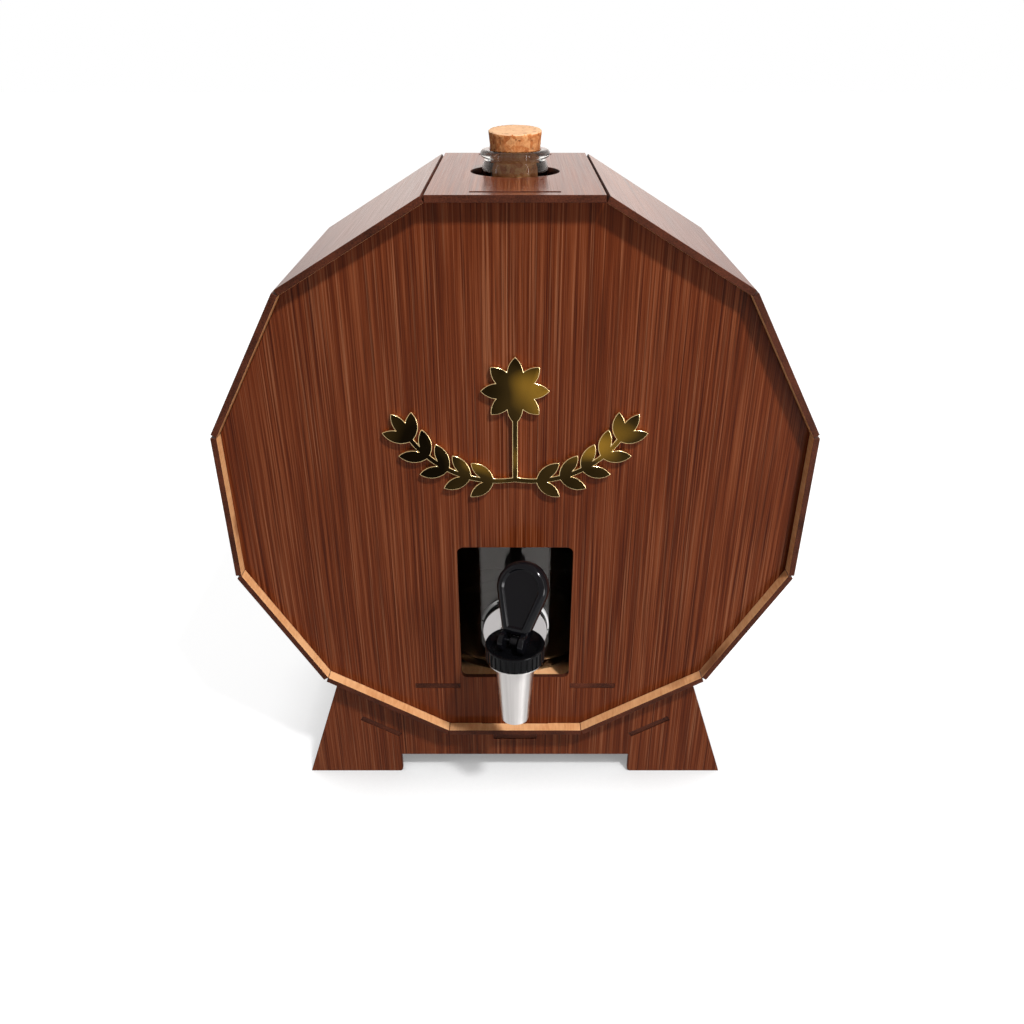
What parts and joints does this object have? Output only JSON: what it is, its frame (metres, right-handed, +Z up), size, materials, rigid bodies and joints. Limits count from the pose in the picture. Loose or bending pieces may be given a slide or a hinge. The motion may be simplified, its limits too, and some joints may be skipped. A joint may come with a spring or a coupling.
{
  "type": "barrel drink dispenser",
  "caption": "Twelve-sided board barrel on a cradle stand, holding a corked glass bottle that pours through a lever tap on its front.",
  "frame": {"origin": "on the floor, midway across the object and midway from the tap cap's front to the casing's back", "axes": "+X to the object's right seen from the front, +Y to the back, +Z up; the tap faces -Y"},
  "size_m": [0.286, 0.181, 0.3412],
  "materials": {
    "stained_board": "brown wood-grain laminate on 3 mm board, satin",
    "gold_acrylic": "gold mirror acrylic",
    "clear_glass": "clear polished glass",
    "cork": "agglomerated cork, matt",
    "chrome": "polished chrome plate",
    "cap_black": "black moulded plastic",
    "gloss_black": "glossy black moulded plastic",
    "silicone": "translucent silicone",
    "stem_steel": "turned stainless steel",
    "spring_steel": "drawn stainless wire",
    "nut_steel": "stainless steel"
  },
  "bodies": {
    "stand": {"stand_front": "stained_board", "stand_back": "stained_board", "stand_rail_centre": "stained_board", "stand_rail_left": "stained_board", "stand_rail_right": "stained_board"},
    "cask": {"slat_top": "stained_board", "slat_top_right": "stained_board", "slat_upper_right": "stained_board", "slat_right": "stained_board", "slat_lower_right": "stained_board", "slat_bottom_right": "stained_board", "slat_bottom": "stained_board", "slat_bottom_left": "stained_board", "slat_lower_left": "stained_board", "slat_left": "stained_board", "slat_upper_left": "stained_board", "slat_top_left": "stained_board", "front_panel": "stained_board", "back_panel": "stained_board", "bottle_shelf": "stained_board", "ornament": "gold_acrylic", "glass_bottle": "clear_glass", "tap_body": "chrome", "tap_cap": "cap_black", "outer_washer": "silicone", "inner_washer": "silicone", "lock_nut": "nut_steel"},
    "cork": {"cork_stopper": "cork"},
    "swivel": {"guide_bush": "cap_black", "return_spring": "spring_steel"},
    "stem": {"valve_stem": "stem_steel", "seat_seal": "silicone", "lever_pin": "stem_steel"},
    "lever": {"tap_lever": "gloss_black"}
  },
  "joints": [
    {"name": "cask_lift", "type": "slide", "parent": "stand", "child": "cask", "axis": [0, 0, 1], "range_m": [0, 0.12]},
    {"name": "cork_pull", "type": "slide", "parent": "cask", "child": "cork", "axis": [0, 0, 1], "range_m": [0, 0.04]},
    {"name": "lever_swivel", "type": "hinge", "parent": "cask", "child": "swivel", "pos_m": [0, -0.0755, 0.1017], "axis": [0, 0, 1], "range_deg": [-90, 90]},
    {"name": "stem_lift", "type": "slide", "parent": "swivel", "child": "stem", "axis": [0, 0, 1], "range_m": [0, 0.0025], "stiffness_N_per_m": 1800, "springref_m": -0.004, "deforming": ["return_spring"]},
    {"name": "lever_tilt", "type": "hinge", "parent": "stem", "child": "lever", "pos_m": [0, -0.0755, 0.11935], "axis": [0.9272, -0.3746, 0], "range_deg": [0, 50]}
  ],
  "couplings": [
    {"joint": "lever_tilt", "follows": "stem_lift", "rad_per_m": 348.8}
  ]
}
